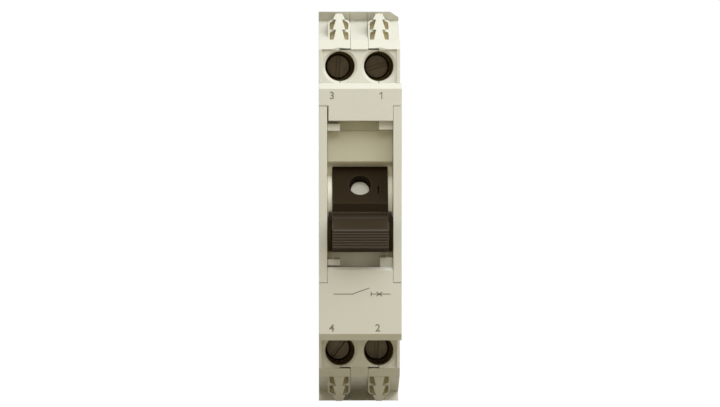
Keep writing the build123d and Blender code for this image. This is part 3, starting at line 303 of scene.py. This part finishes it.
# polycarbonate, dyed brown-black, moulded on a finer tool: satin, with its engraved mark filled dark
togglePolycarbonate = mouldedPlastic("togglePolycarbonate", {
    "low": "#30281c", "high": "#393024", "wearAndHighlightColour": "#544a3c", "driftScale": 120.0, "grainScale": 4200.0,
    "grain": 0.2, "edge": 0.00025, "wearAndHighlight": 0.6, "wearAndHighlightFrom": 0.95, "rough": 0.42, "ior": 1.585,
    "specular": 0.14, "dullRough": 0.9,
    # the drum entry darkens the drum, paints shade on the lever's underside and paints highlights on the grip
    # ribs' crests
    "drum": {"axis": (0.0, -0.04855, 0.00116), "radius": 0.0093, "fade": 0.0007, "halfWidth": 0.00575,
             "colour": "#271d0c", "parting": -0.00742, "gripNormal": (0.0, -0.935, -0.355),
             "gripFace": 0.06153, "crestFoot": 0.00009, "crestTop": 0.00019, "crestHighlight": 0.35,
             "crestHighlightColour": "#645949"},
    "mark": {"low": (0.00358, -0.057, 0.00365), "high": (0.00402, -0.0545, 0.0052), "colour": "#0f0a04"}})
# acetal, plain: the state disc, smooth and pale
discAcetal = mouldedPlastic("discAcetal", {
    "low": "#b4ae99", "high": "#bfb9a5", "wearAndHighlightColour": "#cdc9b8", "driftScale": 200.0, "grainScale": 3000.0,
    "grain": 0.1, "edge": 0.0001, "wearAndHighlight": 0.3, "wearAndHighlightFrom": 0.85, "rough": 0.45, "ior": 1.48,
    "specular": 0.5})
# pressed insulating board: dull and fibrous
pressboard = mouldedPlastic("pressboard", {
    "low": "#a3926e", "high": "#b8a985", "wearAndHighlightColour": "#c9bd9c", "driftScale": 500.0, "grainScale": 1500.0,
    "grain": 0.5, "edge": 0.0001, "wearAndHighlight": 0.4, "wearAndHighlightFrom": 0.85, "rough": 0.75, "ior": 1.5,
    "specular": 0.5})
# black passivated steel, turned: the terminal screws
blackSteel = metalFinish("blackPassivatedSteel", {
    "low": "#4e4433", "high": "#615541", "streak": (1.0, 1.0, 1.0), "edge": 0.00008, "rough": 0.42})
# zinc plated, pressed or turned steel
zincSteel = metalFinish("zincPlatedSteel", {
    "low": "#8b8a84", "high": "#a2a19b", "streak": (1.0, 0.2, 1.0), "edge": 0.00008, "rough": 0.36})
# bare rolled copper, a little darkened
rolledCopper = metalFinish("rolledCopper", {
    "low": "#b06c48", "high": "#c98560", "streak": (1.0, 0.15, 1.0), "edge": 0.00008, "rough": 0.34})
# silver contact facing, slightly sulphided
contactSilver = metalFinish("contactSilver", {
    "low": "#b9b6ab", "high": "#d8d6cf", "streak": (1.0, 1.0, 1.0), "edge": 0.00005, "rough": 0.3})
# rolled bimetal: nickel iron, straw tinted
bimetalStrip = metalFinish("rolledBimetal", {
    "low": "#8f8673", "high": "#a89e88", "streak": (1.0, 0.2, 1.0), "edge": 0.00005, "rough": 0.38})

finishes = {
    "housing_plastic": casingPolyamide, "black_plastic": togglePolycarbonate, "disc_plastic": discAcetal,
    "dark_steel": blackSteel, "zinc_steel": zincSteel, "copper": rolledCopper, "silver": contactSilver,
    "bimetal": bimetalStrip, "fibre": pressboard}
slotOf = {part["node"]: part["material_slot"] for part in frame["record"]["subparts"]}
for nodeName, node in nodes.items():
    node.data.materials.clear()
    finish = coverPolyamide if nodeName == "front_cover" else finishes[slotOf[nodeName]]
    node.data.materials.append(finish)
print("finishes given to the CAD nodes")

# pad-printed ink on the nose, matt grey and slightly patchy; half its thickness stands above the face
ink = {"face": -58.7 * mm, "thick": 0.03 * mm, "stroke": 0.2 * mm, "low": "#75725f", "high": "#878470",
       "patchScale": 2600.0, "patchDetail": 3.0, "rough": 0.62, "ior": 1.5}


def paddedInk():
    material = newMaterial("padPrintedInk")
    place = addNode(material, "ShaderNodeTexCoord").outputs["Object"]
    patches = addNode(material, "ShaderNodeTexNoise",
                      {"Scale": ink["patchScale"], "Detail": ink["patchDetail"]}, {"Vector": place})
    shader = addNode(material, "ShaderNodeBsdfPrincipled", {"Roughness": ink["rough"], "IOR": ink["ior"]},
                     {"Base Color": driftingTone(material, patches, ink)})
    addNode(material, "ShaderNodeOutputMaterial", {}, {"Surface": shader.outputs["BSDF"]})
    return material


markingInk = paddedInk()


def settle(piece, name, body):
    # named, given its place for good, inked and carried
    piece.name = name
    bpy.ops.object.select_all(action="DESELECT")
    piece.select_set(True)
    bpy.context.view_layer.objects.active = piece
    bpy.ops.object.transform_apply(location=True, rotation=True, scale=True)
    piece.data.materials.clear()
    piece.data.materials.append(markingInk)
    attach(piece, body)


# the digits' height, the share of the font's size that this is, and how far the ink spreads beyond the
# font's outline, as a share of a stroke
lettering = {"height": 1.42 * mm, "heightShare": 0.66, "spread": 0.22, "curveSteps": 6}
# each digit with the left end of its foot
digits = {
    "terminalNumber3": ("3", -6.4 * mm, 23.3 * mm),
    "terminalNumber4": ("4", -6.45 * mm, -24.9 * mm),
    "terminalNumber2": ("2", 3.1 * mm, -24.9 * mm)}


def printDigit(name, symbol, left, foot):
    bpy.ops.object.select_all(action="DESELECT")
    bpy.ops.object.text_add()
    text = bpy.context.object
    text.data.body = symbol
    text.data.size = lettering["height"] / lettering["heightShare"]
    text.data.offset = ink["stroke"] * lettering["spread"]
    text.data.extrude = ink["thick"] / 2
    text.data.resolution_u = lettering["curveSteps"]
    bpy.ops.object.convert(target="MESH")
    piece = bpy.context.object
    piece.rotation_euler = (math.radians(90), 0, 0)
    piece.location = (left, ink["face"], foot)
    settle(piece, name, "case")


for name, (symbol, left, foot) in digits.items():
    printDigit(name, symbol, left, foot)

# how far the corners of a stroke's ends are rounded, as a share of its width
strokeEnd = {"round": 0.45, "steps": 3}
# marks drawn in strokes, each from one point of the face to another, in mm: a one without a foot,
# an open switch, and an isolator's bar and cross
drawnMarks = {
    "terminalNumber1": [((4.46, 23.38), (4.46, 24.68)), ((4.46, 24.68), (4.0, 24.36))],
    "openSwitchSymbol": [((-5.48, -17.13), (-1.61, -17.13)), ((-1.61, -17.13), (1.8, -15.9))],
    "isolatorSymbol": [
        ((2.25, -17.13), (6.2, -17.13)), ((2.25, -16.75), (2.25, -17.51)),
        ((3.4, -16.72), (4.48, -17.54)), ((3.4, -17.54), (4.48, -16.72))]}


def drawStroke(start, end):
    # one printed line between two points of the face
    run = Vector(end) - Vector(start)
    bpy.ops.object.select_all(action="DESELECT")
    bpy.ops.mesh.primitive_cube_add(size=1)
    piece = bpy.context.object
    bpy.ops.object.mode_set(mode="EDIT")
    bpy.ops.mesh.select_all(action="SELECT")
    bpy.ops.transform.resize(value=(run.length + ink["stroke"], ink["thick"], ink["stroke"]))
    shape = bmesh.from_edit_mesh(piece.data)
    for edge in shape.edges:
        edge.select_set(abs(edge.verts[0].co.y - edge.verts[1].co.y) > ink["thick"] / 2)
    bmesh.update_edit_mesh(piece.data)
    bpy.ops.mesh.bevel(offset=ink["stroke"] * strokeEnd["round"], segments=strokeEnd["steps"])
    bpy.ops.object.mode_set(mode="OBJECT")
    piece.rotation_euler = (0, -math.atan2(run[1], run[0]), 0)
    middle = (Vector(start) + Vector(end)) / 2
    piece.location = (middle[0], ink["face"], middle[1])
    bpy.ops.object.transform_apply(location=True, rotation=True, scale=True)
    return piece


def drawMark(name, strokes):
    pieces = [drawStroke([v * mm for v in start], [v * mm for v in end]) for start, end in strokes]
    bpy.ops.object.select_all(action="DESELECT")
    for piece in pieces:
        piece.select_set(True)
    bpy.context.view_layer.objects.active = pieces[0]
    bpy.ops.object.join()
    settle(bpy.context.object, name, "case")


for name, strokes in drawnMarks.items():
    drawMark(name, strokes)
print("marks printed")

# matt paper under the part, and a warm room around it; the camera sees both as plain white
studio = {"floorSize": 6, "floorTone": "#a39c86", "floorGlow": 1.08, "glowShare": 0.93,
          "worldTone": "#f2e6c9", "worldLevel": 0.45}


def seenDirectly(surroundings):
    # 1 for what the camera sees itself, or by a mirror or through glass
    paths = addNode(surroundings, "ShaderNodeLightPath")
    direct = addNode(surroundings, "ShaderNodeMath", {"operation": "MAXIMUM"},
                     {0: paths.outputs["Is Camera Ray"], 1: paths.outputs["Is Glossy Ray"]})
    seen = addNode(surroundings, "ShaderNodeMath", {"operation": "MAXIMUM"},
                   {0: direct.outputs[0], 1: paths.outputs["Is Transmission Ray"]})
    return seen.outputs[0]


def studioFloor(lowest):
    bpy.ops.mesh.primitive_plane_add(size=studio["floorSize"], location=(0, 0, lowest))
    floor = bpy.context.object
    floor.name = "studioFloor"
    material = newMaterial("mattPaper")
    share = addNode(material, "ShaderNodeMath", {"operation": "MULTIPLY", 1: studio["glowShare"]},
                    {0: seenDirectly(material)})
    paper = addNode(material, "ShaderNodeBsdfDiffuse", {"Color": toLinear(studio["floorTone"])})
    glow = addNode(material, "ShaderNodeEmission",
                   {"Color": (1, 1, 1, 1), "Strength": studio["floorGlow"]})
    both = addNode(material, "ShaderNodeMixShader", {},
                   {0: share.outputs[0], 1: paper.outputs[0], 2: glow.outputs[0]})
    addNode(material, "ShaderNodeOutputMaterial", {}, {"Surface": both.outputs[0]})
    floor.data.materials.append(material)


def studioWorld():
    world = bpy.data.worlds.new("studioWorld")
    bpy.context.scene.world = world
    world.use_nodes = True
    world.node_tree.nodes.clear()
    soft = addNode(world, "ShaderNodeBackground", {"Color": toLinear(studio["worldTone"]),
                                                   "Strength": studio["worldLevel"]})
    white = addNode(world, "ShaderNodeBackground", {"Color": (1, 1, 1, 1), "Strength": 1.0})
    both = addNode(world, "ShaderNodeMixShader", {},
                   {0: seenDirectly(world), 1: soft.outputs[0], 2: white.outputs[0]})
    addNode(world, "ShaderNodeOutputWorld", {}, {"Surface": both.outputs[0]})


# a wide cool key overhead, and a warm box at each side
softboxes = {
    "keySoftbox": {"place": (0.20, -0.30, 0.46), "aim": (0, -0.04, 0.01), "wide": 1.0, "tall": 0.40,
                   "power": 4.9, "tone": "#f1f7ff"},
    "leftSoftbox": {"place": (-0.60, -0.36, 0.05), "aim": (0, -0.04, 0.0), "wide": 0.4, "tall": 0.6,
                    "power": 1.0, "tone": "#fffcf4"},
    "rightSoftbox": {"place": (0.60, -0.36, 0.05), "aim": (0, -0.04, 0.0), "wide": 0.4, "tall": 0.6,
                     "power": 1.6, "tone": "#fffcf4"}}


def hangSoftbox(name, box):
    bpy.ops.object.light_add(type="AREA", location=box["place"])
    lamp = bpy.context.object
    lamp.name = name
    lamp.data.shape = "RECTANGLE"
    lamp.data.size = box["wide"]
    lamp.data.size_y = box["tall"]
    lamp.data.energy = box["power"]
    lamp.data.color = toLinear(box["tone"])[:3]
    lamp.rotation_euler = (Vector(box["aim"]) - Vector(box["place"])).to_track_quat("-Z", "Y").to_euler()


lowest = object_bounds()[0][2]
studioFloor(lowest)
studioWorld()
for name, box in softboxes.items():
    hangSoftbox(name, box)
scene = bpy.context.scene
scene.view_settings.view_transform = "Standard"

# the camera looks from 631 mm before the nose, level with its upper end; what it aims at is given in
# pixels right of and above the spot straight ahead
view = {"place": (-0.0086, -0.6897, 0.0258), "focalPixels": 3047, "aimPixels": (41.25, -116.5),
        "pictureWidth": 720, "sensorWidth": 36}
bpy.ops.object.camera_add(location=view["place"])
camera = bpy.context.object
camera.name = "frontCamera"
camera.data.sensor_width = view["sensorWidth"]
camera.data.lens = view["focalPixels"] / view["pictureWidth"] * view["sensorWidth"]
aimRight, aimUp = view["aimPixels"]
forward = Vector((aimRight / view["focalPixels"], 1, aimUp / view["focalPixels"]))
camera.rotation_euler = forward.to_track_quat("-Z", "Y").to_euler()
scene.camera = camera
print("camera and lights set")
